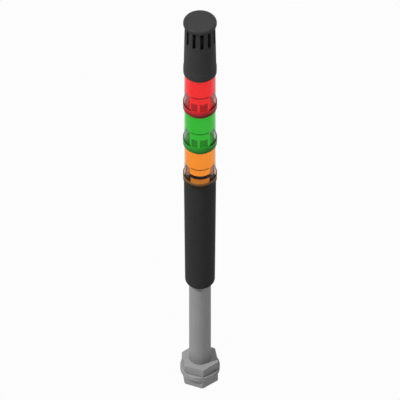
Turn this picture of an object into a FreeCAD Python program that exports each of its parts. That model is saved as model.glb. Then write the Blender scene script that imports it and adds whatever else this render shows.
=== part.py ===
import FreeCAD, Part
import math
import os

# Signal tower on a pole: a panel clamp of two nuts and two washers, a tapered base housing,
# three light modules that twist on to each other, and a sounder on top.
# Millimetres, +Z up. The origin is on the tower's axis, at the underside of the lower nut.
# A module's own heights are counted from its lower end. Angles are in degrees, and the
# front of the tower is at FRONT, the -Y side.

Vector = FreeCAD.Vector
UP = Vector(0, 0, 1)
FRONT = -90.0
BACK = 90.0
RIGHT = 0.0
LEFT = 180.0

# Clearances
slip_gap = 0.3            # between curved faces that turn past each other
fit_gap = 0.1             # between pieces that are fitted into each other and stay there
thread_gap = 0.05         # between a nut's bore and the pole, in place of the fine thread
joint_gap = 0.2           # between the end faces of two modules

# Panel clamp and pole
pole_radius = 11.0
pole_wall = 1.5
pole_visible = 110.0      # bare pole between the upper nut and the base housing
pole_insertion = 22.0     # length of the pole inside the base housing
nut_across_flats = 34.0
nut_height = 10.0
nut_sides = 6
lower_nut_turned_by = -7.5  # a corner of the nut stands this far from the front
upper_nut_turned_by = -9.5
nut_corner_chamfer = 0.8    # from each corner in to the flat end's circle
nut_chamfer_angle = 30.0
washer_radius = 20.0
washer_thickness = 3.0
washer_edge = 0.4

# Base housing
base_foot_radius = 15.0
base_top_radius = 16.15
base_height = 145.0
base_wall = 2.0
base_floor = 3.0
base_foot_fillet = 4.0
base_ledge = 2.0          # thickness of the ledge that the connector rests on
connector_plug = 12.0     # length of the connector below the housing's top
collar_height = 12.0
collar_wall = 1.9
ring_nut_height = 5.0
ring_nut_wall = 1.7
ring_nut_slots = 4
ring_nut_slot_width = 3.0
ring_nut_slot_depth = 0.8
rib_width = 1.2
rib_overlap = 0.6         # of each rib over the board's edge

# Circuit board in the base
board_width = 20.0
board_thickness = 1.6
board_rise = 16.0         # from the pole's upper end to the board's lower edge
board_side_gap = 0.1
terminal_width = 16.0
terminal_depth = 8.0
terminal_height = 12.0
terminal_ways = 5
terminal_rise = 4.0
wire_hole_radius = 1.1
wire_hole_depth = 6.0
terminal_screw_radius = 1.2
terminal_screw_length = 2.6
terminal_screw_well = 1.5
terminal_screw_rise = 8.4
screw_slot_width = 0.5
screw_slot_depth = 0.6
chip_count = 4
chip_width = 7.0
chip_height = 5.0
chip_thickness = 1.5
chip_rise = 26.0
chip_pitch = 13.0
capacitor_radius = 3.2
capacitor_length = 12.0
capacitor_rise = 30.0
capacitor_pitch = 16.0
capacitor_count = 2

# Light modules
module_names = ("amber", "green", "red")
module_pitch = 50.0
flange_radius = 17.0
flange_height = 9.0
flange_foot_round = 0.8
flange_top_round = 0.5
lens_foot_radius = 15.7
lens_top_radius = 15.5
lens_wall = 1.3
lens_roof = 2.8
bead_reach = 0.5
bead_height = 0.8
bead_span = 10.0
bead_offset = 20.0
diffuser_wall = 1.9
diffuser_level = 24.1     # lower end of the diffuser
carrier_floor = 2.0
carrier_rise = 4.6        # underside of the carrier's floor
tongue_wall = 1.2
tongue_span = 102.0
spigot_height = 3.0
spigot_wall = 0.9

# Connector and bayonet between two modules
sleeve_wall = 0.8
sleeve_height = 15.5      # from the lower end of the module that sits on it
root_wall = 1.7
root_height = 4.3
lug_level = 2.2
lug_height = 1.6
lug_reach = 1.1
lug_span = 14.0
twist_to_unlock = 20.0
window_top = 11.6
window_span = 88.0
finger_spans = ((-38.1, -10.6), (-0.8, 33.6))
seal_thickness = 0.75
seal_rebate = 0.6
seal_edge = 0.15

# Contacts
plate_lip = 1.2
plate_thickness = 2.0
pad_radii = (3.5, 6.0, 8.5, 11.0)
pad_width = 1.4
pad_thickness = 0.2
pad_span = 50.0
contact_step = 90.0       # from each contact to the next round the axis
spring_width = 1.0
spring_upright = 0.5      # thickness of a spring's slanting strip, measured upright
spring_reach = 2.4        # along the pads, to either side of its tip
spring_heel = 2.0         # height of its free end above its tip
spring_lift = 0.1

# LEDs
led_board_width = 18.0
led_board_thickness = 1.2
led_slot_depth = 1.0
led_size = 3.5
led_depth = 1.6
led_rows = 3
led_first_row = 31.0
led_row_pitch = 6.0

# Sounder
sounder_height = 66.0
sounder_band_radius = 16.7
sounder_band_height = 7.5
sounder_band_flare = 2.6  # height over which the band runs into the wall above it
sounder_foot_radius = 16.25
sounder_top_radius = 15.2
sounder_wall = 2.0
sounder_step = 19.5       # level where the sounder's bore narrows
slot_count = 12
slot_width = 3.5
slot_height = 22.0
slot_turned_by = 7.4      # the front slot stands this far to the right of the front
sounder_carrier_rim = 2.5
element_gap = 1.7         # between the buzzer and the housing's bore
element_top = 56.5
element_mouth = 4.0
element_mouth_depth = 3.0
element_edge = 1.0
cap_radius = 16.8
cap_thickness = 3.5
cap_edge_round = 2.2
cap_spigot_height = 1.5
cap_spigot_wall = 1.0

# Levels up the tower
lower_washer_level = nut_height
upper_washer_level = lower_washer_level + washer_thickness
upper_nut_level = upper_washer_level + washer_thickness
base_level = upper_nut_level + nut_height + pole_visible
pole_top = base_level + pole_insertion
base_top = base_level + base_height
sounder_level = base_top + module_pitch * len(module_names)

# Radii that follow from the lens
lens_bore = lens_foot_radius - lens_wall
neck_radius = lens_bore - slip_gap
roof_bore = neck_radius + fit_gap
sleeve_bore = neck_radius - sleeve_wall
carrier_radius = sleeve_bore - slip_gap
root_bore = neck_radius - root_wall
lug_radius = neck_radius + lug_reach
track_radius = lug_radius + slip_gap
plate_radius = root_bore - fit_gap
lip_radius = root_bore - plate_lip
diffuser_radius = lens_bore - 2 * fit_gap
diffuser_bore = diffuser_radius - diffuser_wall
tongue_bore = carrier_radius - tongue_wall
carrier_spigot_radius = diffuser_bore - fit_gap
carrier_spigot_bore = carrier_spigot_radius - spigot_wall
seal_outer_radius = lens_top_radius - seal_edge
sounder_bore = sounder_top_radius - sounder_wall
element_radius = sounder_bore - element_gap

# Levels near the top of a module, counted from the lower end of the module above it
shoulder_drop = -joint_gap
plate_top = root_height - carrier_rise + joint_gap + slip_gap + spring_lift
plate_bottom = plate_top - plate_thickness
lip_bottom = plate_bottom - plate_lip
lens_roof_bottom = shoulder_drop - lens_roof

nodes = {}


def place(shape, level):
    """The shape moved up by a level."""
    moved = shape.copy()
    moved.translate(Vector(0, 0, level))
    return moved


def turned(profile):
    """A solid of revolution about the tower's axis, from a closed outline of (radius, height) points."""
    corners = [Vector(radius, 0, height) for radius, height in profile]
    outline = Part.makePolygon(corners + corners[:1])
    return Part.Face(outline).revolve(Vector(0, 0, 0), UP, 360)


def disc(radius, low, high):
    return Part.makeCylinder(radius, high - low, Vector(0, 0, low))


def ring(outer, inner, low, high):
    return disc(outer, low, high).cut(disc(inner, low, high))


def sector(outer, inner, low, high, start, end):
    """The part of a ring between two angles."""
    corners = [
        Vector(inner, 0, low),
        Vector(outer, 0, low),
        Vector(outer, 0, high),
        Vector(inner, 0, high),
    ]
    face = Part.Face(Part.makePolygon(corners + corners[:1]))
    piece = face.revolve(Vector(0, 0, 0), UP, end - start)
    piece.rotate(Vector(0, 0, 0), UP, start)
    return piece


def centred_sector(outer, inner, low, high, middle, span):
    return sector(outer, inner, low, high, middle - span / 2, middle + span / 2)


def block(*ranges):
    """A rectangular block over a range along x, one along y and one along z, each in either order."""
    low = Vector(*[min(ends) for ends in ranges])
    return Part.makeBox(*[max(ends) - min(ends) for ends in ranges], low)


def around(shape, count, first=0.0):
    """Copies of a shape at equal angles about the tower's axis."""
    copies = []
    for index in range(count):
        copy = shape.copy()
        copy.rotate(Vector(0, 0, 0), UP, first + index * 360.0 / count)
        copies.append(copy)
    return copies


def circular_edges(shape, radius, level):
    """The edges of a shape that are whole circles of a radius at a level."""
    found = []
    for edge in shape.Edges:
        curve = edge.Curve
        if isinstance(curve, Part.Circle) and abs(curve.Radius - radius) < 1e-6:
            if abs(curve.Center.z - level) < 1e-6:
                found.append(edge)
    return found


def line_radius(foot_radius, top_radius, height, level):
    """Radius of a straight taper at a level above its foot."""
    return foot_radius + (top_radius - foot_radius) * level / height


# Panel clamp

def hex_nut(turned_by):
    """A hexagon nut with both ends chamfered, its underside at height 0 and a corner near the front."""
    corner_radius = nut_across_flats / 2 / math.cos(math.pi / nut_sides)
    first_corner = FRONT - turned_by
    corners = []
    for index in range(nut_sides):
        angle = math.radians(first_corner + 360 / nut_sides * index)
        corners.append(Vector(corner_radius * math.cos(angle), corner_radius * math.sin(angle), 0))
    prism = Part.Face(Part.makePolygon(corners + corners[:1])).extrude(UP * nut_height)
    face_radius = corner_radius - nut_corner_chamfer
    drop = nut_corner_chamfer * math.tan(math.radians(nut_chamfer_angle))
    envelope = turned([
        (0, 0),
        (face_radius, 0),
        (corner_radius, drop),
        (corner_radius, nut_height - drop),
        (face_radius, nut_height),
        (0, nut_height),
    ])
    return prism.common(envelope).cut(disc(pole_radius + thread_gap, 0, nut_height))


def washer():
    """A flat round washer with its outer edges broken, its underside at height 0."""
    bore = pole_radius + slip_gap
    return turned([
        (bore, 0),
        (washer_radius - washer_edge, 0),
        (washer_radius, washer_edge),
        (washer_radius, washer_thickness - washer_edge),
        (washer_radius - washer_edge, washer_thickness),
        (bore, washer_thickness),
    ])


def build_clamp():
    nodes["pole"] = ring(pole_radius, pole_radius - pole_wall, 0, pole_top)
    nodes["lower_nut"] = hex_nut(lower_nut_turned_by)
    nodes["lower_washer"] = place(washer(), lower_washer_level)
    nodes["upper_washer"] = place(washer(), upper_washer_level)
    nodes["upper_nut"] = place(hex_nut(upper_nut_turned_by), upper_nut_level)


# Connector that carries the module above, in that module's own heights

def connector_root():
    """The thick ring at the connector's foot, with the lip under the contact plate and two lugs."""
    root = turned([
        (lip_radius, lip_bottom),
        (neck_radius, lip_bottom),
        (neck_radius, root_height),
        (root_bore, root_height),
        (root_bore, plate_bottom),
        (lip_radius, plate_bottom),
    ])
    for side in (LEFT, RIGHT):
        lug = centred_sector(lug_radius, root_bore, lug_level, lug_level + lug_height, side, lug_span)
        root = root.fuse(lug)
    return root


def spring_fingers():
    """Two pairs of fingers that steady the module above, at the front and the back."""
    fingers = []
    for side in (FRONT, BACK):
        for start, end in finger_spans:
            heights = (root_height, sleeve_height)
            fingers.append(sector(neck_radius, sleeve_bore, *heights, side + start, side + end))
    return fingers


def windowed_sleeve():
    """A closed sleeve with a light window at the front and the back."""
    sleeve = ring(neck_radius, sleeve_bore, root_height, sleeve_height)
    for side in (FRONT, BACK):
        window = centred_sector(
            neck_radius + slip_gap, sleeve_bore - slip_gap, root_height, window_top, side, window_span
        )
        sleeve = sleeve.cut(window)
    return sleeve


def module_connector():
    """The smoke grey connector in the top of a light module."""
    connector = connector_root()
    for finger in spring_fingers():
        connector = connector.fuse(finger)
    return connector.removeSplitter()


def bayonet_tracks():
    """The L-shaped tracks in a skirt, for the lugs of the connector below: up the entry, then across."""
    half = lug_span / 2 + math.degrees(slip_gap / neck_radius)
    low = lug_level - slip_gap
    high = lug_level + lug_height + slip_gap
    cutters = []
    for side in (LEFT, RIGHT):
        entry = side - twist_to_unlock
        cutters.append(sector(track_radius, lens_bore - slip_gap, 0, high, entry - half, entry + half))
        cutters.append(sector(track_radius, lens_bore - slip_gap, low, high, entry - half, side + half))
    return cutters


def contact_plate():
    return disc(plate_radius, plate_bottom, plate_top)


def contact_pads():
    """Flat arcs on the contact plate that the springs of the module above wipe along."""
    pads = []
    for index, radius in enumerate(pad_radii):
        middle = FRONT + index * contact_step + twist_to_unlock / 2
        outer = radius + pad_width / 2
        pad = centred_sector(outer, outer - pad_width, plate_top, plate_top + pad_thickness, middle, pad_span)
        pads.append(pad)
    return Part.makeCompound(pads)


def contact_springs(ceiling):
    """Bent strips that hang from a module's floor on to the pads below."""
    tip = plate_top + pad_thickness + spring_lift
    root_depth = spring_reach * spring_upright / (ceiling - tip)
    corners = [
        Vector(0, spring_reach, ceiling),
        Vector(0, 0, tip),
        Vector(0, -spring_reach, tip + spring_heel),
        Vector(0, -spring_reach, tip + spring_heel + spring_upright),
        Vector(0, 0, tip + spring_upright),
        Vector(0, spring_reach - root_depth, ceiling),
    ]
    strip = Part.Face(Part.makePolygon(corners + corners[:1])).extrude(Vector(spring_width, 0, 0))
    springs = []
    for index, radius in enumerate(pad_radii):
        spring = strip.copy()
        spring.translate(Vector(radius - spring_width / 2, 0, 0))
        spring.rotate(Vector(0, 0, 0), UP, FRONT + index * contact_step)
        springs.append(spring)
    return Part.makeCompound(springs)


def flat_seal():
    """A flat ring in a rebate of the shoulder round the connector."""
    low = shoulder_drop - seal_rebate
    return ring(seal_outer_radius, neck_radius + fit_gap, low, low + seal_thickness)


def seal_rebate_cutter():
    return ring(seal_outer_radius + fit_gap, neck_radius, shoulder_drop - seal_rebate, 0)


# Base

def base_radius(level):
    return line_radius(base_foot_radius, base_top_radius, base_height, level)


def base_housing():
    """The tapered shell: rounded foot, floor round the pole, ledge for the connector and board ribs."""
    top = base_height - joint_gap
    ledge_top = base_height - connector_plug
    ledge_low = ledge_top - base_ledge
    shell = turned([
        (pole_radius + thread_gap, 0),
        (base_foot_radius, 0),
        (base_radius(top), top),
        (roof_bore, top),
        (roof_bore, ledge_top),
        (root_bore, ledge_top),
        (root_bore, ledge_low),
        (base_radius(ledge_low) - base_wall, ledge_low - base_ledge),
        (base_radius(base_floor) - base_wall, base_floor),
        (pole_radius + thread_gap, base_floor),
    ])
    foot = circular_edges(shell, base_foot_radius, 0)
    shell = shell.makeFillet(min(base_foot_fillet, base_foot_radius - pole_radius - fit_gap), foot)
    cavity = turned([
        (0, base_floor),
        (base_radius(base_floor) - base_wall / 2, base_floor),
        (base_radius(ledge_low) - base_wall / 2, ledge_low),
        (0, ledge_low),
    ])
    heights = (pole_insertion + board_rise, ledge_low - base_ledge)
    slot_half = board_thickness / 2 + board_side_gap
    for x_side in (-1, 1):
        for y_side in (-1, 1):
            rib = block(
                (x_side * (board_width / 2 - rib_overlap), x_side * base_top_radius),
                (y_side * slot_half, y_side * (slot_half + rib_width)),
                heights,
            )
            shell = shell.fuse(rib.common(cavity))
    return shell.cut(place(seal_rebate_cutter(), base_height)).removeSplitter()


def pole_collar():
    bore = pole_radius + thread_gap
    return ring(bore + collar_wall, bore, base_floor, base_floor + collar_height)


def ring_nut():
    """A round nut on the pole's upper end, with slots for a hook spanner."""
    low = base_floor + collar_height
    outer = pole_radius + ring_nut_wall
    nut = ring(outer, pole_radius + thread_gap, low, low + ring_nut_height)
    slot = block(
        (outer - ring_nut_slot_depth, outer + slip_gap),
        (-ring_nut_slot_width / 2, ring_nut_slot_width / 2),
        (low, low + ring_nut_height),
    )
    for cutter in around(slot, ring_nut_slots, 180 / ring_nut_slots):
        nut = nut.cut(cutter)
    return nut


def terminal_positions():
    pitch = terminal_width / terminal_ways
    return [(index - (terminal_ways - 1) / 2) * pitch for index in range(terminal_ways)]


def terminal_block(front, low):
    """A screw terminal block on the board's front face: wires enter below, screws are at the front."""
    face = front - terminal_depth
    body = block((-terminal_width / 2, terminal_width / 2), (face, front), (low, low + terminal_height))
    well_depth = terminal_screw_well + terminal_screw_length
    for x in terminal_positions():
        foot = Vector(x, face + terminal_depth / 2, low)
        entry = Part.makeCylinder(wire_hole_radius, wire_hole_depth, foot)
        mouth = Vector(x, face, low + terminal_screw_rise)
        well = Part.makeCylinder(terminal_screw_radius + fit_gap, well_depth, mouth, Vector(0, 1, 0))
        body = body.cut(entry).cut(well)
    return body


def terminal_screws(front, low):
    screws = []
    face = front - terminal_depth + terminal_screw_well
    axis_level = low + terminal_screw_rise
    for x in terminal_positions():
        start = Vector(x, face, axis_level)
        screw = Part.makeCylinder(terminal_screw_radius, terminal_screw_length, start, Vector(0, 1, 0))
        slot = block(
            (x - terminal_screw_radius, x + terminal_screw_radius),
            (face, face + screw_slot_depth),
            (axis_level - screw_slot_width / 2, axis_level + screw_slot_width / 2),
        )
        screws.append(screw.cut(slot))
    return Part.makeCompound(screws)


def driver_chips(front, board_low):
    chips = []
    for index in range(chip_count):
        low = board_low + chip_rise + index * chip_pitch
        across = (-chip_width / 2, chip_width / 2)
        chips.append(block(across, (front - chip_thickness, front), (low, low + chip_height)))
    return Part.makeCompound(chips)


def capacitors(back, board_low):
    cans = []
    for index in range(capacitor_count):
        low = board_low + capacitor_rise + index * capacitor_pitch
        foot = Vector(0, back + capacitor_radius, low)
        cans.append(Part.makeCylinder(capacitor_radius, capacitor_length, foot))
    return Part.makeCompound(cans)


def base_connector():
    """The black connector in the top of the housing, in the heights of the module that sits on it."""
    plug_low = -connector_plug
    plug = ring(neck_radius, root_bore, plug_low, lip_bottom)
    return plug.fuse(connector_root()).fuse(windowed_sleeve()).removeSplitter()


def build_base():
    nodes["base_housing"] = place(base_housing(), base_level)
    nodes["pole_collar"] = place(pole_collar(), base_level)
    nodes["ring_nut"] = place(ring_nut(), base_level)
    nodes["base_connector"] = place(base_connector(), base_top)
    nodes["base_contact_plate"] = place(contact_plate(), base_top)
    nodes["base_contact_pads"] = place(contact_pads(), base_top)
    nodes["base_seal"] = place(flat_seal(), base_top)
    board_low = pole_top + board_rise
    board_high = base_top + plate_bottom
    front = -board_thickness / 2
    nodes["circuit_board"] = block(
        (-board_width / 2, board_width / 2), (front, -front), (board_low, board_high)
    )
    nodes["terminal_block"] = terminal_block(front, board_low + terminal_rise)
    nodes["terminal_screws"] = terminal_screws(front, board_low + terminal_rise)
    nodes["driver_chips"] = driver_chips(front, board_low)
    nodes["capacitors"] = capacitors(-front, board_low)


# Light modules

def lens_radius(level):
    return line_radius(lens_foot_radius, lens_top_radius, module_pitch, level)


def lens():
    """The tinted cover, with its flange and bayonet tracks below and a seat for its connector above."""
    top = module_pitch + shoulder_drop
    roof = module_pitch + lens_roof_bottom
    body = turned([
        (lens_bore, 0),
        (flange_radius, 0),
        (flange_radius, flange_height),
        (lens_radius(flange_height), flange_height),
        (lens_radius(top), top),
        (roof_bore, top),
        (roof_bore, roof),
        (lens_bore, roof),
    ])
    body = body.makeFillet(flange_foot_round, circular_edges(body, flange_radius, 0))
    body = body.makeFillet(flange_top_round, circular_edges(body, flange_radius, flange_height))
    for cutter in bayonet_tracks():
        body = body.cut(cutter)
    body = body.cut(place(seal_rebate_cutter(), module_pitch))
    outer = lens_bore + fit_gap
    inner = lens_bore - bead_reach
    bead_low = diffuser_level - bead_height
    for side in (LEFT, RIGHT):
        for offset in (-bead_offset, bead_offset):
            body = body.fuse(centred_sector(outer, inner, bead_low, diffuser_level, side + offset, bead_span))
    return body.removeSplitter()


def diffuser():
    return ring(diffuser_radius, diffuser_bore, diffuser_level, module_pitch + lens_roof_bottom)


def carrier():
    """The bracket that carries the LED board: a floor, a tongue at the front and the back, and a spigot."""
    floor_top = carrier_rise + carrier_floor
    tongue_reach = carrier_radius * math.sin(math.radians(tongue_span / 2))
    strip = block((-tongue_reach, tongue_reach), (-carrier_radius, carrier_radius), (carrier_rise, floor_top))
    bracket = disc(carrier_radius, carrier_rise, floor_top).common(strip)
    for side in (FRONT, BACK):
        tongue = centred_sector(carrier_radius, tongue_bore, carrier_rise, diffuser_level, side, tongue_span)
        bracket = bracket.fuse(tongue)
    spigot = turned([
        (tongue_bore, diffuser_level - spigot_height),
        (carrier_spigot_radius, diffuser_level - spigot_wall),
        (carrier_spigot_radius, diffuser_level + spigot_height),
        (carrier_spigot_bore, diffuser_level + spigot_height),
        (carrier_spigot_bore, diffuser_level - spigot_height),
    ])
    bracket = bracket.fuse(spigot)
    slot_half_width = led_board_width / 2 + fit_gap
    slot_half_depth = led_board_thickness / 2 + fit_gap
    slot = block(
        (-slot_half_width, slot_half_width),
        (-slot_half_depth, slot_half_depth),
        (floor_top - led_slot_depth, floor_top),
    )
    return bracket.cut(slot).removeSplitter()


def led_board():
    return block(
        (-led_board_width / 2, led_board_width / 2),
        (-led_board_thickness / 2, led_board_thickness / 2),
        (carrier_rise + carrier_floor - led_slot_depth, module_pitch + plate_bottom),
    )


def leds():
    """LED packages in rows on both faces of the board."""
    packages = []
    for row in range(led_rows):
        low = led_first_row + row * led_row_pitch - led_size / 2
        for side in (-1, 1):
            depths = (side * led_board_thickness / 2, side * (led_board_thickness / 2 + led_depth))
            packages.append(block((-led_size / 2, led_size / 2), depths, (low, low + led_size)))
    return Part.makeCompound(packages)


def build_module(name, level):
    nodes[name + "_lens"] = place(lens(), level)
    nodes[name + "_connector"] = place(module_connector(), level + module_pitch)
    nodes[name + "_diffuser"] = place(diffuser(), level)
    nodes[name + "_carrier"] = place(carrier(), level)
    nodes[name + "_led_board"] = place(led_board(), level)
    nodes[name + "_leds"] = place(leds(), level)
    nodes[name + "_contact_plate"] = place(contact_plate(), level + module_pitch)
    nodes[name + "_contact_pads"] = place(contact_pads(), level + module_pitch)
    nodes[name + "_springs"] = place(contact_springs(carrier_rise), level)
    nodes[name + "_seal"] = place(flat_seal(), level + module_pitch)


# Sounder, in heights from its own lower end

def sounder_housing():
    """The tapered shell with its wider band and bayonet tracks below, and upright slots at the top."""
    shell = turned([
        (lens_bore, 0),
        (sounder_band_radius, 0),
        (sounder_band_radius, sounder_band_height),
        (sounder_foot_radius, sounder_band_height + sounder_band_flare),
        (sounder_top_radius, sounder_height),
        (sounder_bore, sounder_height),
        (sounder_bore, sounder_step),
        (lens_bore, sounder_step),
    ])
    for cutter in bayonet_tracks():
        shell = shell.cut(cutter)
    slot = block(
        (sounder_bore - slip_gap, sounder_band_radius),
        (-slot_width / 2, slot_width / 2),
        (sounder_height - slot_height, sounder_height),
    )
    for cutter in around(slot, slot_count, FRONT + slot_turned_by):
        shell = shell.cut(cutter)
    return shell.removeSplitter()


def sounder_carrier():
    """The cup in the sounder's foot: a floor for the springs and a rim under the housing's step."""
    rim_radius = lens_bore - fit_gap
    rim_low = sounder_step - sounder_carrier_rim
    return turned([
        (0, carrier_rise),
        (carrier_radius, carrier_rise),
        (carrier_radius, rim_low),
        (rim_radius, rim_low),
        (rim_radius, sounder_step),
        (tongue_bore, sounder_step),
        (tongue_bore, carrier_rise + carrier_floor),
        (0, carrier_rise + carrier_floor),
    ])


def sounder_board():
    return disc(sounder_bore - slip_gap, sounder_step, sounder_step + board_thickness)


def sounder_element():
    """The round buzzer, with a broken upper edge and a sound hole in its top."""
    low = sounder_step + board_thickness
    return turned([
        (0, low),
        (element_radius, low),
        (element_radius, element_top - element_edge),
        (element_radius - element_edge, element_top),
        (element_mouth, element_top),
        (element_mouth, element_top - element_mouth_depth),
        (0, element_top - element_mouth_depth),
    ])


def sounder_cap():
    """The top disc, rounded above, with a short ring that centres it in the housing."""
    spigot_radius = sounder_bore - fit_gap
    cap = turned([
        (0, sounder_height),
        (spigot_radius - cap_spigot_wall, sounder_height),
        (spigot_radius - cap_spigot_wall, sounder_height - cap_spigot_height),
        (spigot_radius, sounder_height - cap_spigot_height),
        (spigot_radius, sounder_height),
        (cap_radius, sounder_height),
        (cap_radius, sounder_height + cap_thickness),
        (0, sounder_height + cap_thickness),
    ])
    return cap.makeFillet(cap_edge_round, circular_edges(cap, cap_radius, sounder_height + cap_thickness))


def build_sounder():
    nodes["sounder_housing"] = place(sounder_housing(), sounder_level)
    nodes["sounder_carrier"] = place(sounder_carrier(), sounder_level)
    nodes["sounder_springs"] = place(contact_springs(carrier_rise), sounder_level)
    nodes["sounder_board"] = place(sounder_board(), sounder_level)
    nodes["sounder_element"] = place(sounder_element(), sounder_level)
    nodes["sounder_cap"] = place(sounder_cap(), sounder_level)


def export_nodes():
    os.makedirs("parts", exist_ok=True)
    for name, shape in nodes.items():
        shape.exportStep("parts/" + name + ".step")


build_clamp()
build_base()
for module_index, module_name in enumerate(module_names):
    build_module(module_name, base_top + module_index * module_pitch)
build_sounder()
export_nodes()
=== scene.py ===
import math

import bmesh
import bpy
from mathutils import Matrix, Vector


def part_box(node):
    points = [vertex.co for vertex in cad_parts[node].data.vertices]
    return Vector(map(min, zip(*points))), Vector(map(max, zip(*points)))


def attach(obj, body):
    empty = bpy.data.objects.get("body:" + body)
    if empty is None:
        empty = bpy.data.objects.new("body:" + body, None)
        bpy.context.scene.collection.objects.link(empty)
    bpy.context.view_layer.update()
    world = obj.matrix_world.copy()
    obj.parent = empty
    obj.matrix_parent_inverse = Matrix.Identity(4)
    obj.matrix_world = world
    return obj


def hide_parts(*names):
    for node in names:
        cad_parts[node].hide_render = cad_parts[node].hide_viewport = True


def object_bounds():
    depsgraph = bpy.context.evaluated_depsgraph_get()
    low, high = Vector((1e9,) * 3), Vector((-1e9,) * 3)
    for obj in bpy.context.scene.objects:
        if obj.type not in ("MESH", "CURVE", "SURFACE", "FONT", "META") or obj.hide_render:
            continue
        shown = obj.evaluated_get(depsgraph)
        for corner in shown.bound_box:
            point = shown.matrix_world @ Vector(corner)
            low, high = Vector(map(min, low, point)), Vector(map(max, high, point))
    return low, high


# The looks of a signal tower: a metal pole with its panel clamp, a black base, three light
# modules and a sounder. Metres, +Z up, front at -Y. The frame's solids are shown as they are,
# each with its own finish. One piece is made here, the threaded pole, which stands for the
# plain one. Where a finish changes with height, it counts from the frame's own boxes.

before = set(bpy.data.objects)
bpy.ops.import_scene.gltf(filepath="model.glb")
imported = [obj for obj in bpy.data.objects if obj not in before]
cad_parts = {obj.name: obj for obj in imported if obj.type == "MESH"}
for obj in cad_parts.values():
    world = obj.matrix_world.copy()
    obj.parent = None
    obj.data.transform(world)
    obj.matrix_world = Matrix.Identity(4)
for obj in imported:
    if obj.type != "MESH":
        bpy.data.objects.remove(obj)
solid_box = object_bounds()

MM = 0.001
margin = 0.2 * MM              # keeps a face clear of the level at which its finish changes

# Clear covers, in heights above a cover's lower end
flange_height = 9.0 * MM
flange_skin = 0.3 * MM         # depth of the flange's painted shade and light under its outside
arc_height = 1.0 * MM          # of the dark arcs at the flange's upper edge, a painted shade
arc_width = 0.8 * MM           # of the same arcs, across the flange's top
cover_middle = 15.0 * MM       # a radius between the inside and the outside of a cover

# What stands behind the covers
bright_half_width = 9.3 * MM   # half the width of the bright tongue
shadow_line_half_height = 1.5 * MM    # half the height of the painted shadow line under a diffuser
window_top = 11.6 * MM         # of the light window in the base's connector, above its cover's end
sleeve_bore = 13.3 * MM        # radius inside the base's connector
sleeve_top = 15.5 * MM         # of its black part, above its cover's end
scoop_depth = 5.5 * MM         # of the black part's two scoops, at the sides
root_height = 7.2 * MM         # of the ivory root of a light module's connector

# Pole: its thread is cut into the lower end and runs out inside the upper nut
thread_pitch = 1.5 * MM
thread_depth = 0.7 * MM
thread_run = 2.0 * MM          # height over which the thread runs out
thread_lead = 0.9 * MM         # chamfer at the pole's lower end
thread_inside = 0.5 * MM       # from the thread's upper end to the nut's upper face
groove_half_share = 0.44       # half a groove's width, as a share of the pitch
rows_per_turn = 10
points_round = 72
pole_wall = 1.5 * MM
painted_shade_above_nut_height = 17 * MM          # of the painted shade above the upper nut
painted_shadow_below_base_height = 6.0 * MM          # of the painted shadow below the base, on the pole's middle line
painted_shadow_below_base_slope = 0.9                # how much its lower edge rises for each metre to the side

# Light
room_level = 0.52
backdrop_level = 0.975
key_level = 0.80
key_spread = 5.0               # degrees across, which softens the edges of shadows
key_direction = (-0.524, -0.233, 0.819)
fill_level = 0.03
fill_spread = 60.0
fill_direction = (0.80, 0.30, 0.35)
floor_drop = 6.2 * MM          # below the tower, which leaves room for the lower nut's travel
floor_size = 12.0

# Camera: a very long lens from the front, which shows the tower almost without perspective
view_elevation = 45            # degrees
view_width = 0.400
view_target = Vector((0, 0, 0.2498))
lens_length = 1720             # in the camera's own millimetres, as is the width of its film
film_width = 36

# Colours of the light modules: cover is what one wall lets through, diffuser and glow are the
# frosted light's own colour and its light, and shade is how dark the painted shade turns it below
# the window's top. Foot and rim are the flange's colours at its lower end and under its upper edge,
# painted shade and painted light, fade gives the heights between them, and edge is the colour of
# the dark arcs, a painted shade
module_colours = {
    "red": {
        "cover": (0.63, 0.28, 0.29), "diffuser": (0.50, 0.025, 0.03), "glow": (1.20, 0.080, 0.085),
        "rim": (0.80, 0.015, 0.025), "foot": (0.16, 0.012, 0.010), "edge": (0.02, 0.001, 0.001),
        "fade": (1.0 * MM, 9.0 * MM), "shade": 0.0,
    },
    "green": {
        "cover": (0.28, 0.49, 0.30), "diffuser": (0.02, 0.45, 0.02), "glow": (0.11, 0.80, 0.10),
        "rim": (0.025, 0.42, 0.022), "foot": (0.016, 0.20, 0.018), "edge": (0.002, 0.03, 0.001),
        "fade": (1.0 * MM, 9.0 * MM), "shade": 0.0,
    },
    "amber": {
        "cover": (0.61, 0.41, 0.28), "diffuser": (0.50, 0.23, 0.03), "glow": (1.30, 0.61, 0.075),
        "rim": (0.40, 0.18, 0.04), "foot": (0.022, 0.017, 0.011), "edge": (0.04, 0.02, 0.008),
        "fade": (4.0 * MM, 9.0 * MM), "shade": 0.55,
    },
}


# Colours

def grey(level):
    return (level, level, level)


def lighter(colour, share):
    """A colour moved towards white, or towards black for a share below 0."""
    if share < 0:
        return tuple(part * (1 + share) for part in colour)
    return tuple(part + (1 - part) * share for part in colour)


zinc_colour = grey(0.31)
ivory_colour = (0.80, 0.79, 0.74)
smoke_tint = grey(0.50)


# Shader building

class Value:
    """One output of a shader node. Sums and products of values add their own nodes."""

    def __init__(self, socket):
        self.socket = socket

    def maths(self, operation, first, second):
        node = self.socket.id_data.nodes.new("ShaderNodeMath")
        node.operation = operation
        set_socket(node.inputs[0], first)
        set_socket(node.inputs[1], second)
        return Value(node.outputs[0])

    def __add__(self, other):
        return self.maths("ADD", self, other)

    def __radd__(self, other):
        return self.maths("ADD", other, self)

    def __sub__(self, other):
        return self.maths("SUBTRACT", self, other)

    def __rsub__(self, other):
        return self.maths("SUBTRACT", other, self)

    def __mul__(self, other):
        return self.maths("MULTIPLY", self, other)

    def __rmul__(self, other):
        return self.maths("MULTIPLY", other, self)

    def size(self):
        """The value without its sign."""
        return self.maths("ABSOLUTE", self, 0.0)


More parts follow.
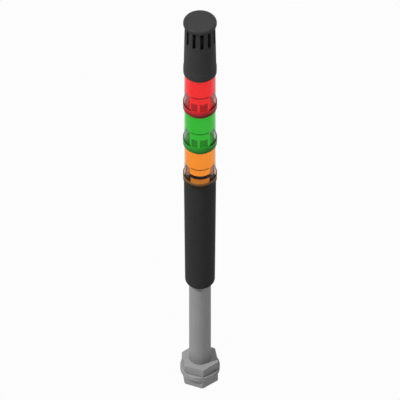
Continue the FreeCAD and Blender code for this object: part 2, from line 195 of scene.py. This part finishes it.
def set_socket(socket, value):
    """Set a socket to a plain value, or link it to another node's output."""
    if isinstance(value, Value):
        socket.id_data.links.new(value.socket, socket)
    elif hasattr(socket.default_value, "__len__") and len(socket.default_value) == len(value) + 1:
        socket.default_value = (*value, 1.0)
    else:
        socket.default_value = value


class Finish:
    """A node tree in the making, for a material or the world."""

    def __init__(self, name, owner=None):
        self.owner = owner or bpy.data.materials.new(name)
        self.owner.use_nodes = True
        self.tree = self.owner.node_tree
        self.tree.nodes.clear()

    def add(self, kind, settings=None, sockets=None, output=0):
        """Any node: its type, its settings, the values or links of its sockets, and its used output."""
        node = self.tree.nodes.new("ShaderNode" + kind)
        for name, setting in (settings or {}).items():
            setattr(node, name, setting)
        for name, value in (sockets or {}).items():
            set_socket(node.inputs[name], value)
        return Value(node.outputs[output]) if node.outputs else node

    def place(self, stretch=(1, 1, 1)):
        """A point of the piece in the frame's own metres, with its axes stretched."""
        point = self.add("TexCoord", output="Object")
        return self.add("Mapping", {"vector_type": "POINT"}, {"Vector": point, "Scale": stretch})

    def noise(self, grain, detail=2.0, stretch=(1, 1, 1)):
        """Soft noise from 0 to 1 whose lumps are about grain metres wide."""
        return self.add(
            "TexNoise", {}, {"Vector": self.place(stretch), "Scale": 1 / grain, "Detail": detail}
        )

    def along(self, axis):
        """Distance along x, y or z, in metres."""
        return self.add("SeparateXYZ", {}, {"Vector": self.place()}, output=axis.upper())

    def across(self):
        """Distance from the tower's axis, in metres."""
        flat = self.place((1, 1, 0))
        return self.add("VectorMath", {"operation": "LENGTH"}, {0: flat}, output="Value")

    def from_outside(self):
        """1 where a wall is seen from its own outside, and 0 where it is seen through the piece."""
        return 1 - self.add("NewGeometry", output="Backfacing")

    def turned_away(self, low, high):
        """0 where a surface faces the viewer, and 1 where it is seen along its length."""
        return self.step(self.add("LayerWeight", output="Facing"), low, high)

    def step(self, value, low, high):
        """A soft step from 0 below low to 1 above high."""
        return self.add("MapRange", {"interpolation_type": "SMOOTHSTEP"}, {
            "Value": value, "From Min": low, "From Max": high,
        })

    def above(self, value, level, blur=0.1 * MM):
        """0 below a level and 1 above it, with a blur to each side."""
        return self.step(value, level - blur, level + blur)

    def blend_colours(self, share, first, second):
        """The Mix node's colour sockets have the numbers 6 and 7, and its colour output 2."""
        return self.add("Mix", {"data_type": "RGBA"}, {0: share, 6: first, 7: second}, output=2)

    def mottle(self, share, colour, darker, paler=0.0):
        """A colour that wanders from a little darker to a little paler."""
        return self.blend_colours(share, lighter(colour, -darker), lighter(colour, paler))

    def bump(self, height, depth):
        return self.add("Bump", {}, {"Height": height, "Distance": depth})

    def surface(self, **sockets):
        """A principled surface."""
        names = {name.replace("_", " "): value for name, value in sockets.items()}
        return self.add("BsdfPrincipled", {}, names)

    def blend_surfaces(self, share, first, second):
        return self.add("MixShader", {}, {0: share, 1: first, 2: second})

    def material(self, surface):
        """The material that shows a surface."""
        self.add("OutputMaterial", {}, {"Surface": surface})
        return self.owner


# Finishes that several sub-parts share

def moulded_plastic(name, colour, roughness, shine=0.5):
    """Plastic from a finely sparked mould: an even grain and a soft change of gloss."""
    finish = Finish(name)
    speckle = finish.step(finish.noise(0.35 * MM, 3.0), 0.25, 0.75)
    cloud = finish.noise(14 * MM)
    return finish.material(finish.surface(
        Base_Color=finish.mottle(speckle * 0.5 + cloud * 0.5, colour, 0.12, 0.012),
        Roughness=cloud * 0.10 + (roughness - 0.05),
        Specular_IOR_Level=shine,
        Normal=finish.bump(speckle, 0.012 * MM),
    ))


def brass(name):
    finish = Finish(name)
    haze = finish.noise(1.5 * MM, 3.0)
    return finish.material(finish.surface(
        Base_Color=finish.blend_colours(haze, (0.62, 0.42, 0.16), (0.80, 0.60, 0.28)),
        Metallic=1.0,
        Roughness=haze * 0.15 + 0.20,
    ))


def board_mask(name, colour):
    """Solder mask over a fine glass weave."""
    finish = Finish(name)
    weave = finish.add("TexChecker", {}, {"Vector": finish.place(), "Scale": 1 / (0.6 * MM)}, output="Fac")
    haze = finish.noise(4 * MM)
    return finish.material(finish.surface(
        Base_Color=finish.mottle(haze, colour, 0.15, 0.05),
        Roughness=haze * 0.1 + 0.25,
        Normal=finish.bump(weave, 0.004 * MM),
    ))


def clear_plastic(finish, tint, sheen=0.0):
    """A clear wall that lets a tint through, with a faint uneven gloss and a sheen where it turns away."""
    # Light crosses both faces of a wall, so each face takes the square root of the tint
    clear = finish.add("BsdfTransparent", {}, {"Color": tuple(part ** 0.5 for part in tint)})
    gloss = finish.add("BsdfGlossy", {}, {"Color": (1, 1, 1), "Roughness": 0.07})
    faint = (finish.noise(6 * MM) + 0.5) * 0.02
    return finish.blend_surfaces(faint + finish.turned_away(0.36, 1.0) * sheen, clear, gloss)


def dress(nodes, material):
    """Give a material to every slot of some nodes of the frame."""
    for node in nodes:
        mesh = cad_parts[node].data
        mesh.materials.clear()
        mesh.materials.append(material)


# Pole and panel clamp

def drawn_tube(name, colour, foot, stop):
    """Drawn aluminium tube with fine streaks, painted shade above its foot and a painted shadow where the
    base stops.
    """
    finish = Finish(name)
    height = finish.along("z")
    # painted shade: the pole turns darker towards the upper nut
    painted_shade_above_nut = 1 - finish.step(height, foot, foot + painted_shade_above_nut_height)
    # painted shadow of the base: a dark V on the pole that points down
    slanted = height - finish.along("x").size() * painted_shadow_below_base_slope
    painted_shadow_below_base = finish.above(slanted, stop - painted_shadow_below_base_height, 0.6 * MM)
    streaks = finish.step(finish.noise(0.35 * MM, 3.0, (1, 1, 0.01)), 0.30, 0.70)
    cloud = finish.noise(9 * MM, 3.0)
    metal = finish.mottle(streaks * 0.6 + cloud * 0.4, colour, 0.10, 0.05)
    return finish.material(finish.surface(
        Base_Color=finish.blend_colours((painted_shadow_below_base + painted_shade_above_nut) * 0.5, metal, lighter(colour, -0.6)),
        Metallic=0.10,
        Roughness=cloud * 0.14 + 0.40,
        Specular_IOR_Level=0.25,
        Normal=finish.bump(streaks, 0.006 * MM),
    ))


def plated_steel(name, colour, rings=False, seat=None):
    """Dull zinc plate with a fine crystal mottle.

    A turned piece shows the rings of the lathe. A piece with a seat, the level that it stands on,
    has a painted shadow line there and painted shade above it.
    """
    finish = Finish(name)
    crystal = finish.step(finish.noise(0.8 * MM, 4.0), 0.30, 0.70)
    cloud = finish.noise(7 * MM)
    shade = finish.mottle(crystal * 0.6 + cloud * 0.4, colour, 0.14, 0.07)
    if seat is not None:
        height = finish.along("z") - seat
        # painted shade over 9 mm above the seat, and a painted shadow line just above it
        painted_contact_shade = 1 - finish.step(height, 0, 9 * MM)
        line = 1 - finish.step(height, 0.4 * MM, 1.1 * MM)
        shade = finish.blend_colours(painted_contact_shade * 0.15 + line * 0.6, shade, lighter(colour, -0.75))
    relief = crystal
    if rings:
        around = finish.add("TexWave", {"wave_type": "RINGS", "rings_direction": "Z"}, {
            "Vector": finish.place(), "Scale": 1 / (1.2 * MM), "Distortion": 0.6, "Detail": 1.0,
        })
        relief = around * 0.6 + crystal * 0.4
    return finish.material(finish.surface(
        Base_Color=shade,
        Metallic=0.10,
        Roughness=cloud * 0.16 + 0.42,
        Specular_IOR_Level=0.25,
        Normal=finish.bump(relief, 0.008 * MM),
    ))


def threaded_radius(radius, height, turn, thread_top):
    """Radius of the threaded pole at a height, and at a share of a turn round it."""
    phase = (height / thread_pitch - turn) % 1.0
    groove = max(0.0, 1 - abs(phase - 0.5) / groove_half_share)
    running_out = min(1.0, max(0.0, (thread_top - height) / thread_run))
    return min(radius - thread_depth * groove * running_out, radius - thread_lead + height)


def make_threaded_pole(material):
    """The pole as a tube with its real thread."""
    low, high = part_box("pole")
    thread_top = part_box("upper_nut")[1].z - thread_inside
    step = thread_pitch / rows_per_turn
    heights = [row * step for row in range(int(thread_top / step) + 2)] + [high.z]
    bore = high.x - pole_wall
    mesh = bmesh.new()

    def ring(radius_at, height):
        points = []
        for index in range(points_round):
            turn = index / points_round
            radius = radius_at(height, turn)
            angle = 2 * math.pi * turn
            points.append(mesh.verts.new((radius * math.cos(angle), radius * math.sin(angle), height)))
        return points

    outside = [ring(lambda z, turn: threaded_radius(high.x, z, turn, thread_top), z) for z in heights]
    inside = [ring(lambda z, turn: bore, z) for z in (high.z, low.z)]
    loops = outside + inside
    for first, second in zip(loops, loops[1:] + loops[:1]):
        flat = first[0].co.z == second[0].co.z
        for index in range(points_round):
            after = (index + 1) % points_round
            face = mesh.faces.new((first[index], first[after], second[after], second[index]))
            face.smooth = not flat
    for loop in (outside[0], outside[-1], *inside):
        for index, point in enumerate(loop):
            mesh.edges.get((point, loop[(index + 1) % points_round])).smooth = False
    data = bpy.data.meshes.new("threaded_pole")
    mesh.to_mesh(data)
    mesh.free()
    data.materials.append(material)
    pole = bpy.data.objects.new("threaded_pole", data)
    bpy.context.scene.collection.objects.link(pole)
    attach(pole, "mast")
    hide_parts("pole")


def dress_clamp():
    nut_low, nut_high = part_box("upper_nut")
    make_threaded_pole(drawn_tube("drawn tube", zinc_colour, nut_high.z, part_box("base_housing")[0].z))
    dress(["upper_nut"], plated_steel("seated zinc plate", zinc_colour, seat=nut_low.z))
    dress(["lower_nut", "ring_nut", "terminal_screws"], plated_steel("zinc plate", zinc_colour))
    dress(["upper_washer", "lower_washer"], plated_steel("turned zinc plate", grey(0.30), rings=True))


# Base

def sleeve_plastic(name, colour, painted_glow_lining, tint, top):
    """Black plastic with a pale bore that glows with painted light, and smoke clear above two scoops at its
    sides.
    """
    finish = Finish(name)
    cloud = finish.noise(8 * MM)
    outside = finish.above(finish.across(), sleeve_bore + margin)
    black = finish.surface(
        Base_Color=finish.blend_colours(outside, painted_glow_lining, finish.mottle(cloud, colour, 0.12, 0.01)),
        Roughness=cloud * 0.1 + 0.45,
        Specular_IOR_Level=0.1,
        # painted light: the bore glows at half its pale colour, as if the lamps lit it
        Emission_Color=finish.blend_colours(outside, lighter(painted_glow_lining, -0.5), (0, 0, 0)),
        Emission_Strength=1.0,
    )
    scoop = finish.step(finish.along("x").size(), bright_half_width, sleeve_bore) * scoop_depth
    clear_part = finish.above(finish.along("z") + scoop, top + margin)
    return finish.material(finish.blend_surfaces(clear_part, black, clear_plastic(finish, tint)))


def dress_base(contact, rubber, board):
    inner_black = moulded_plastic("inner plastic", grey(0.02), roughness=0.55, shine=0.2)
    connector = sleeve_plastic(
        "connector plastic", grey(0.025), painted_glow_lining=(0.50, 0.42, 0.38), tint=grey(0.85),
        top=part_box("amber_lens")[0].z + sleeve_top,
    )
    dress(["base_housing"], moulded_plastic("base plastic", grey(0.029), roughness=0.50, shine=0.05))
    dress(["base_connector"], connector)
    dress(["pole_collar", "base_contact_plate", "driver_chips"], inner_black)
    dress(["base_contact_pads"], contact)
    dress(["base_seal"], rubber)
    dress(["circuit_board"], board)
    dress(["terminal_block"], moulded_plastic("terminal plastic", (0.06, 0.24, 0.09), roughness=0.45))
    dress(["capacitors"], moulded_plastic("capacitor sleeve", (0.03, 0.04, 0.10), roughness=0.30))


# Light modules

def smoke_plastic(name, root_top):
    """Smoke grey fingers on a root of ivory plastic."""
    finish = Finish(name)
    haze = finish.noise(5 * MM)
    root = finish.surface(
        Base_Color=finish.mottle(haze, ivory_colour, 0.06),
        Roughness=haze * 0.1 + 0.4,
    )
    fingers = finish.above(finish.along("z"), root_top)
    return finish.material(finish.blend_surfaces(fingers, root, clear_plastic(finish, smoke_tint)))


def shaded_flange_plastic(finish, haze, height, colours):
    """The flange's thick plastic, with painted shade at its lower end and painted light under its upper
    edge.
    """
    upwards = finish.step(height + haze * MM, *colours["fade"])
    return finish.surface(
        Base_Color=finish.blend_colours(upwards, colours["foot"], colours["rim"]),
        Roughness=haze * 0.1 + 0.2,
        Specular_IOR_Level=0.15,
    )


def painted_glow_plastic(finish, haze, colours):
    """A cover's plastic with a painted glow of the lamps' light."""
    glow = colours["glow"]
    return finish.surface(
        Base_Color=finish.mottle(haze, colours["diffuser"], 0.06),
        Roughness=haze * 0.1 + 0.1,
        Specular_IOR_Level=0.2,
        Emission_Color=finish.blend_colours(haze, lighter(glow, -0.25), lighter(glow, -0.2)),
        Emission_Strength=0.5,
    )


def clear_cover(name, foot, radius, light_foot, colours):
    """Tinted clear plastic with a painted glow where it turns away, and painted shade and light in its
    flange.

    Foot is the level of the cover's lower end, radius the flange's, and light_foot the level
    where the painted glow ends.
    """
    finish = Finish(name)
    haze = finish.noise(5 * MM)
    height = finish.along("z") - foot
    from_axis = finish.across()
    from_outside = finish.from_outside()
    in_flange = from_outside * (1 - finish.above(height, flange_height + margin))
    in_skin = in_flange * finish.above(from_axis, radius - flange_skin)
    in_painted_arcs = (
        in_flange
        * finish.above(height, flange_height - arc_height)
        * finish.above(from_axis, radius - arc_width)
        * finish.above(finish.along("x").size(), bright_half_width, MM)
    )
    on_outer_wall = from_outside * finish.above(from_axis, cover_middle)
    # painted light: the outer wall glows in the lamps' colour where it turns away
    painted_glow_share = (
        on_outer_wall
        * finish.turned_away(0.62, 0.8)
        * finish.above(height, light_foot - foot, 0.5 * MM)
    )
    wall = finish.blend_surfaces(
        painted_glow_share * 0.8,
        clear_plastic(finish, colours["cover"], sheen=on_outer_wall * 0.4),
        painted_glow_plastic(finish, haze, colours),
    )
    # the flange's outer skin takes the painted shade and light
    flange = finish.blend_surfaces(in_skin * 0.8, wall, shaded_flange_plastic(finish, haze, height, colours))
    # painted shade: near-black arcs at the flange's upper edge, to the sides of the tongue
    edge = finish.surface(
        Base_Color=colours["edge"],
        Roughness=haze * 0.1 + 0.3,
        Specular_IOR_Level=0.03,
    )
    return finish.material(finish.blend_surfaces(in_painted_arcs * 0.97, flange, edge))


def frosted_light(name, line_level, shaded_below, colours):
    """Frosted coloured plastic with the lamps behind it.

    The tongue below a level starts with a painted shadow line, has a faint seam down its middle and
    has painted shade at its foot.
    """
    finish = Finish(name)
    frost = finish.noise(0.5 * MM, 3.0)
    cloud = finish.noise(11 * MM) * 0.7 + frost * 0.3
    height = finish.along("z") - line_level
    from_middle = finish.along("x").size()
    on_tongue = finish.step(bright_half_width + 0.5 * MM - from_middle, 0, MM)
    # painted shadow line under the diffuser's foot, on the tongue
    line = on_tongue * (1 - finish.step(height.size(), shadow_line_half_height * 0.7, shadow_line_half_height))
    seam = (1 - finish.above(from_middle, 0.4 * MM, 0.2 * MM)) * (1 - finish.step(height, -MM, 0))
    # painted shade on the tongue below the window's top
    in_shade = 1 - finish.above(height, shaded_below - line_level, 0.3 * MM)
    shade = line + seam * 0.15 + in_shade * colours["shade"]
    diffuser, glow = colours["diffuser"], colours["glow"]
    return finish.material(finish.surface(
        Base_Color=finish.blend_colours(
            shade, finish.mottle(cloud, diffuser, 0.06), lighter(diffuser, -0.7)
        ),
        Roughness=frost * 0.1 + 0.45,
        Specular_IOR_Level=0.2,
        Emission_Color=finish.blend_colours(
            shade, finish.mottle(cloud, glow, 0.05), lighter(glow, -0.8)
        ),
        Emission_Strength=1.0,
        Normal=finish.bump(frost, 0.01 * MM),
    ))


def dress_light_modules(contact, rubber):
    white_board = board_mask("white board", (0.72, 0.72, 0.70))
    light_package = moulded_plastic("light package", (0.80, 0.80, 0.62), roughness=0.35)
    ivory = moulded_plastic("ivory plastic", ivory_colour, roughness=0.45)
    for name, colours in module_colours.items():
        low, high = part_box(name + "_lens")
        diffuser_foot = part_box(name + "_diffuser")[0].z
        root_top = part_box(name + "_connector")[0].z + root_height
        light = frosted_light(name + " light", diffuser_foot, low.z + window_top, colours)
        dress([name + "_lens"], clear_cover(name + " cover", low.z, high.x, diffuser_foot, colours))
        dress([name + "_diffuser", name + "_carrier"], light)
        dress([name + "_connector"], smoke_plastic(name + " smoke plastic", root_top))
        dress([name + "_led_board"], white_board)
        dress([name + "_leds"], light_package)
        dress([name + "_contact_plate"], ivory)
        dress([name + "_contact_pads", name + "_springs"], contact)
        dress([name + "_seal"], rubber)


# Sounder

def cap_plastic(name, colour, radius):
    """The cap's plastic: smooth enough for a small glint, and with painted shade on the rounded rim."""
    finish = Finish(name)
    speckle = finish.noise(0.35 * MM, 3.0)
    cloud = finish.noise(14 * MM)
    # painted shade: the rounded rim darker all round
    rim = finish.step(finish.across(), radius - 1.6 * MM, radius - 0.2 * MM)
    top = finish.mottle(speckle * 0.5 + cloud * 0.5, colour, 0.10, 0.01)
    return finish.material(finish.surface(
        Base_Color=finish.blend_colours(rim * 0.5, top, lighter(colour, -0.7)),
        Roughness=cloud * 0.10 + 0.30,
        Specular_IOR_Level=0.08,
        Coat_Weight=cloud * 0.1 + 0.85,
        Coat_Roughness=0.04,
        Coat_IOR=1.3,
        Normal=finish.bump(speckle, 0.002 * MM),
    ))


def dress_sounder(contact, board):
    shell = moulded_plastic("sounder plastic", grey(0.040), roughness=0.45, shine=0.08)
    dress(["sounder_housing", "sounder_carrier"], shell)
    dress(["sounder_cap"], cap_plastic("cap plastic", grey(0.037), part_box("sounder_cap")[1].x))
    dress(["sounder_element"], moulded_plastic("buzzer plastic", grey(0.012), roughness=0.6, shine=0.2))
    dress(["sounder_board"], board)
    dress(["sounder_springs"], contact)


def dress_tower():
    contact = brass("contact brass")
    rubber = moulded_plastic("seal rubber", grey(0.015), roughness=0.75, shine=0.2)
    board = board_mask("green board", (0.03, 0.18, 0.07))
    dress_clamp()
    dress_base(contact, rubber, board)
    dress_light_modules(contact, rubber)
    dress_sounder(contact, board)


# Room

def seen_directly(finish):
    """1 for rays that look at the backdrop: from the camera, off a sharp shine or through a clear piece."""
    camera = finish.add("LightPath", output="Is Camera Ray")
    sharp = finish.add("LightPath", output="Is Singular Ray")
    through = finish.add("LightPath", output="Is Transmission Ray")
    return camera + sharp + through


def make_room():
    world = bpy.data.worlds.new("pale room")
    bpy.context.scene.world = world
    finish = Finish("pale room", world)
    light = finish.add("Background", {}, {"Color": (1, 1, 1), "Strength": room_level})
    seen = finish.add("Background", {}, {"Color": (1, 1, 1), "Strength": backdrop_level})
    both = finish.blend_surfaces(seen_directly(finish), light, seen)
    finish.add("OutputWorld", {}, {"Surface": both})


def make_floor(level):
    bpy.ops.mesh.primitive_plane_add(size=floor_size, location=(0, 0, level))
    floor = bpy.context.object
    floor.name = "floor"
    finish = Finish("pale floor")
    plain = finish.add("BsdfDiffuse", {}, {"Color": grey(0.40)})
    shown = finish.add("Emission", {}, {"Color": (1, 1, 1), "Strength": backdrop_level})
    floor.data.materials.append(finish.material(finish.blend_surfaces(seen_directly(finish), plain, shown)))


def make_lamp(name, direction, level, spread):
    """A distant soft lamp that lights a white face turned to it to a level."""
    lamp = bpy.data.lights.new(name, "SUN")
    lamp.angle = math.radians(spread)
    lamp.energy = level * math.pi
    holder = bpy.data.objects.new(name, lamp)
    holder.rotation_euler = Vector(direction).to_track_quat("Z", "Y").to_euler()
    bpy.context.scene.collection.objects.link(holder)


def make_camera():
    data = bpy.data.cameras.new("camera")
    data.lens = lens_length
    data.sensor_width = film_width
    data.clip_start = 1.0
    data.clip_end = 100.0
    elevation = math.radians(view_elevation)
    away = Vector((0, -math.cos(elevation), math.sin(elevation)))
    camera = bpy.data.objects.new("camera", data)
    camera.location = view_target + away * (view_width * lens_length / film_width)
    camera.rotation_mode = "QUATERNION"
    camera.rotation_quaternion = away.to_track_quat("Z", "Y")
    bpy.context.scene.collection.objects.link(camera)
    bpy.context.scene.camera = camera


make_camera()
make_room()
make_floor(solid_box[0].z - floor_drop)
make_lamp("key", key_direction, key_level, key_spread)
make_lamp("fill", fill_direction, fill_level, fill_spread)
dress_tower()

bpy.context.scene.view_settings.view_transform = "Standard"
